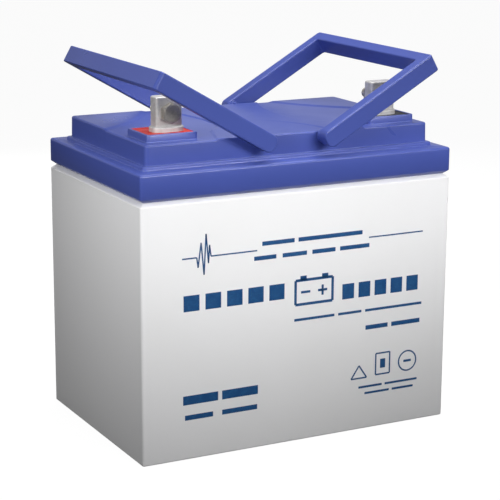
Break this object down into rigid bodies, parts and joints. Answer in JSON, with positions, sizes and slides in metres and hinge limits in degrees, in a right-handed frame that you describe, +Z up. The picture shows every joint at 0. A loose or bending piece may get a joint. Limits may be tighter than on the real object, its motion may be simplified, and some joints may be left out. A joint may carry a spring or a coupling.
{
  "type": "deep cycle battery",
  "caption": "Sealed box-shaped rechargeable battery with a stepped lid, two bolted post terminals near the front corners and a folding carrying handle over each end.",
  "frame": {"origin": "middle of the underside", "axes": "+X along the long side, from the positive to the negative terminal; +Y from the front, where the terminals are, to the back; +Z up"},
  "size_m": [0.196, 0.131, 0.2165],
  "materials": {
    "white_case": "satin moulded",
    "blue_lid": "satin moulded",
    "glue": "cast epoxy",
    "terminal_lead": "cast, dull",
    "bolt_steel": "zinc plated",
    "red_fill": "cast epoxy",
    "black_fill": "cast epoxy",
    "black_rubber": "moulded",
    "positive_plate": "dull, pasted",
    "negative_plate": "dull, pasted",
    "glass_mat": "felted glass fibre",
    "cast_lead": "cast, dull"
  },
  "bodies": {
    "battery": {"container": "white_case", "joint_glue": "glue", "lid": "blue_lid", "top_cover": "blue_lid", "terminal_positive": "terminal_lead", "terminal_negative": "terminal_lead", "terminal_fill_positive": "red_fill", "terminal_fill_negative": "black_fill", "seal_ring_positive": "black_rubber", "seal_ring_negative": "black_rubber", "terminal_bolts": "bolt_steel", "terminal_nuts": "bolt_steel", "valve_cap_1": "black_rubber", "valve_cap_2": "black_rubber", "valve_cap_3": "black_rubber", "valve_cap_4": "black_rubber", "valve_cap_5": "black_rubber", "valve_cap_6": "black_rubber", "positive_plates_1": "positive_plate", "positive_plates_2": "positive_plate", "positive_plates_3": "positive_plate", "positive_plates_4": "positive_plate", "positive_plates_5": "positive_plate", "positive_plates_6": "positive_plate", "negative_plates_1": "negative_plate", "negative_plates_2": "negative_plate", "negative_plates_3": "negative_plate", "negative_plates_4": "negative_plate", "negative_plates_5": "negative_plate", "negative_plates_6": "negative_plate", "glass_mats_1": "glass_mat", "glass_mats_2": "glass_mat", "glass_mats_3": "glass_mat", "glass_mats_4": "glass_mat", "glass_mats_5": "glass_mat", "glass_mats_6": "glass_mat", "cell_links": "cast_lead", "terminal_riser_positive": "cast_lead", "terminal_riser_negative": "cast_lead"},
    "handle_left": {"handle_left": "blue_lid"},
    "handle_right": {"handle_right": "blue_lid"}
  },
  "joints": [
    {"name": "handle_left_hinge", "type": "hinge", "parent": "battery", "child": "handle_left", "pos_m": [-0.0196, 0, 0.1735], "axis": [0, 1, 0], "range_deg": [-32.5, 68]},
    {"name": "handle_right_hinge", "type": "hinge", "parent": "battery", "child": "handle_right", "pos_m": [0.0196, 0, 0.1735], "axis": [0, -1, 0], "range_deg": [-32.5, 68]}
  ]
}
